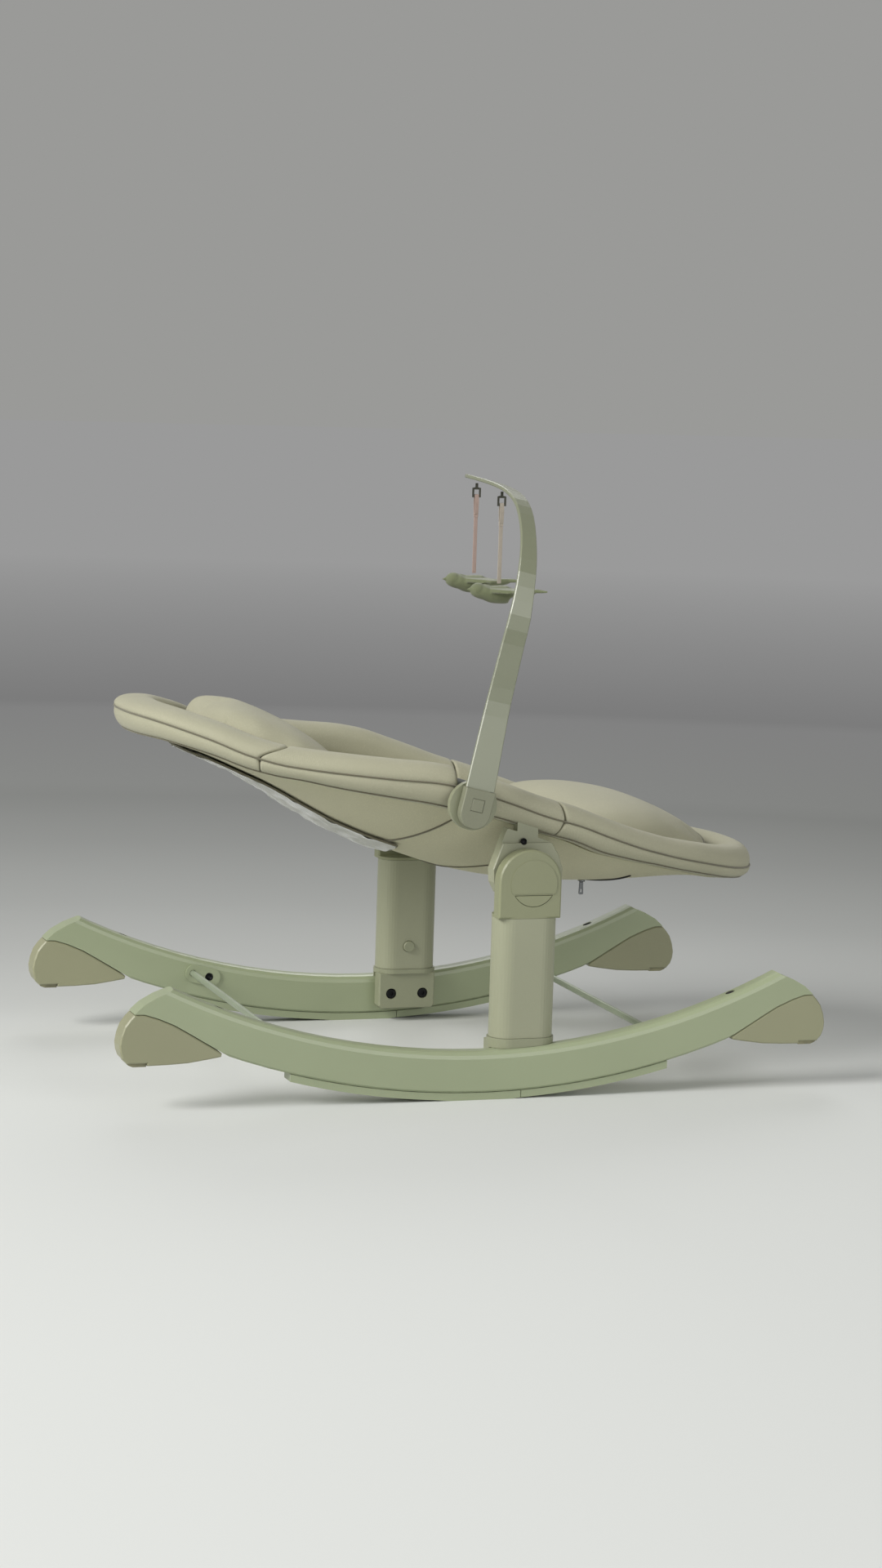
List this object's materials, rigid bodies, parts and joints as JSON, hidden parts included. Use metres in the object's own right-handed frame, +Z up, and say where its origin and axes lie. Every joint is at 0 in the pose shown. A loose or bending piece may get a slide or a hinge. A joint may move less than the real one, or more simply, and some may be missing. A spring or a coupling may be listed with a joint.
{
  "type": "baby swing",
  "caption": "Baby rocker swing on curved runners with uprights, a reclining padded ring seat with a fabric sling, and a curved toy bar with hanging bird toys.",
  "frame": {"origin": "on the floor under the middle of the object, midway between the runners", "axes": "+X to the foot end, +Y to the seated baby's left, +Z up"},
  "size_m": [0.9, 0.54, 0.7438],
  "materials": {
    "runner_plastic": "satin moulded",
    "khaki_plastic": "satin moulded",
    "stopper_plastic": "satin moulded",
    "pad_rubber": "matte",
    "black_steel": "black oxide",
    "rod_steel": "plain",
    "painted_rod": "satin",
    "tube_metal": "plain",
    "seat_fabric": "woven",
    "sling_fabric": "woven",
    "mesh_fabric": "open mesh",
    "chrome": "polished",
    "bar_plastic": "satin",
    "ribbon": "woven tape",
    "felt": "brushed"
  },
  "bodies": {
    "base": {"runner_left": "runner_plastic", "skid_head_left": "runner_plastic", "skid_foot_left": "runner_plastic", "rod_plate_head_left": "runner_plastic", "rod_plate_foot_left": "runner_plastic", "shoe_left": "khaki_plastic", "shoe_bolt_left_a": "black_steel", "shoe_bolt_left_b": "black_steel", "runner_right": "runner_plastic", "skid_head_right": "runner_plastic", "skid_foot_right": "runner_plastic", "rod_plate_head_right": "runner_plastic", "rod_plate_foot_right": "runner_plastic", "shoe_right": "khaki_plastic", "shoe_bolt_right_a": "black_steel", "shoe_bolt_right_b": "black_steel", "cross_rod_head": "painted_rod", "cross_rod_foot": "painted_rod"},
    "stopper_head_left": {"stopper_head_left": "stopper_plastic", "stopper_pad_head_left": "pad_rubber"},
    "stopper_head_right": {"stopper_head_right": "stopper_plastic", "stopper_pad_head_right": "pad_rubber"},
    "stopper_foot_left": {"stopper_foot_left": "stopper_plastic", "stopper_pad_foot_left": "pad_rubber"},
    "stopper_foot_right": {"stopper_foot_right": "stopper_plastic", "stopper_pad_foot_right": "pad_rubber"},
    "uprights": {"post_left": "khaki_plastic", "post_right": "khaki_plastic", "hub_left": "khaki_plastic", "hub_right": "khaki_plastic", "axle_left": "rod_steel", "axle_right": "rod_steel"},
    "post_button_left": {"post_button_left": "khaki_plastic"},
    "hub_button_left": {"hub_button_left": "khaki_plastic"},
    "post_button_right": {"post_button_right": "khaki_plastic"},
    "hub_button_right": {"hub_button_right": "khaki_plastic"},
    "seat": {"seat_bracket_left": "khaki_plastic", "seat_bracket_right": "khaki_plastic", "seat_frame": "tube_metal", "rim_foot": "seat_fabric", "rim_left": "seat_fabric", "rim_head": "seat_fabric", "rim_right_back": "seat_fabric", "rim_right_front": "seat_fabric", "sling": "sling_fabric", "mesh_panel": "mesh_fabric", "head_pad": "seat_fabric", "foot_pad": "seat_fabric", "toy_socket": "khaki_plastic"},
    "zip_pull": {"zip_pull": "chrome"},
    "toy_clip": {"toy_clip": "khaki_plastic"},
    "toy_button": {"toy_button": "khaki_plastic"},
    "toy_arch": {"toy_arch": "bar_plastic"},
    "toy_hook_far": {"toy_hook_far": "black_steel"},
    "toy_bird_far": {"toy_strap_far": "ribbon", "toy_bird_far": "felt"},
    "toy_hook_near": {"toy_hook_near": "black_steel"},
    "toy_bird_near": {"toy_strap_near": "ribbon", "toy_bird_near": "felt"}
  },
  "joints": [
    {"name": "stopper_fold_foot_left", "type": "hinge", "parent": "base", "child": "stopper_foot_left", "pos_m": [0.324, 0.2545, 0.067], "axis": [0, 1, 0], "range_deg": [0, 30.4]},
    {"name": "stopper_fold_foot_right", "type": "hinge", "parent": "base", "child": "stopper_foot_right", "pos_m": [0.324, -0.2545, 0.067], "axis": [0, 1, 0], "range_deg": [0, 30.4]},
    {"name": "stopper_fold_head_left", "type": "hinge", "parent": "base", "child": "stopper_head_left", "pos_m": [-0.324, 0.2545, 0.067], "axis": [0, -1, 0], "range_deg": [0, 30.4]},
    {"name": "stopper_fold_head_right", "type": "hinge", "parent": "base", "child": "stopper_head_right", "pos_m": [-0.324, -0.2545, 0.067], "axis": [0, -1, 0], "range_deg": [0, 30.4]},
    {"name": "uprights_lift", "type": "slide", "parent": "base", "child": "uprights", "axis": [0, 0, 1], "range_m": [0, 0.1]},
    {"name": "post_button_press_left", "type": "slide", "parent": "uprights", "child": "post_button_left", "axis": [0, 1, 0], "range_m": [0, 0.003], "stiffness_N_per_m": 400, "springref_m": -0.004},
    {"name": "hub_button_press_left", "type": "slide", "parent": "uprights", "child": "hub_button_left", "axis": [0, -1, 0], "range_m": [0, 0.003], "stiffness_N_per_m": 400, "springref_m": -0.004},
    {"name": "post_button_press_right", "type": "slide", "parent": "uprights", "child": "post_button_right", "axis": [0, -1, 0], "range_m": [0, 0.003], "stiffness_N_per_m": 400, "springref_m": -0.004},
    {"name": "hub_button_press_right", "type": "slide", "parent": "uprights", "child": "hub_button_right", "axis": [0, 1, 0], "range_m": [0, 0.003], "stiffness_N_per_m": 400, "springref_m": -0.004},
    {"name": "seat_recline", "type": "hinge", "parent": "uprights", "child": "seat", "pos_m": [0.062, 0, 0.262], "axis": [0, 1, 0], "range_deg": [-10, 25]},
    {"name": "zip_pull_swing", "type": "hinge", "parent": "seat", "child": "zip_pull", "pos_m": [0.205, -0.04, 0.229], "axis": [0, 1, 0], "range_deg": [-60, 60]},
    {"name": "toy_bar_tilt", "type": "hinge", "parent": "seat", "child": "toy_clip", "pos_m": [-0.016, -0.25, 0.358], "axis": [0, 1, 0], "range_deg": [-45, 40]},
    {"name": "toy_button_press", "type": "slide", "parent": "toy_clip", "child": "toy_button", "axis": [0, 1, 0], "range_m": [0, 0.0018], "stiffness_N_per_m": 400, "springref_m": -0.003},
    {"name": "toy_bar_lift", "type": "slide", "parent": "toy_clip", "child": "toy_arch", "axis": [0.225, 0, 0.9744], "range_m": [0, 0.05]},
    {"name": "toy_hook_swing_far", "type": "hinge", "parent": "toy_arch", "child": "toy_hook_far", "pos_m": [0.07135, 0.035, 0.73367], "axis": [0, -1, 0], "range_deg": [-50, 50]},
    {"name": "toy_bird_swing_far", "type": "hinge", "parent": "toy_hook_far", "child": "toy_bird_far", "pos_m": [0.07135, 0.035, 0.71617], "axis": [1, 0, 0], "range_deg": [-10, 10]},
    {"name": "toy_hook_swing_near", "type": "hinge", "parent": "toy_arch", "child": "toy_hook_near", "pos_m": [0.07006, -0.068, 0.72807], "axis": [0, -1, 0], "range_deg": [-50, 50]},
    {"name": "toy_bird_swing_near", "type": "hinge", "parent": "toy_hook_near", "child": "toy_bird_near", "pos_m": [0.07006, -0.068, 0.71057], "axis": [1, 0, 0], "range_deg": [-10, 10]}
  ]
}
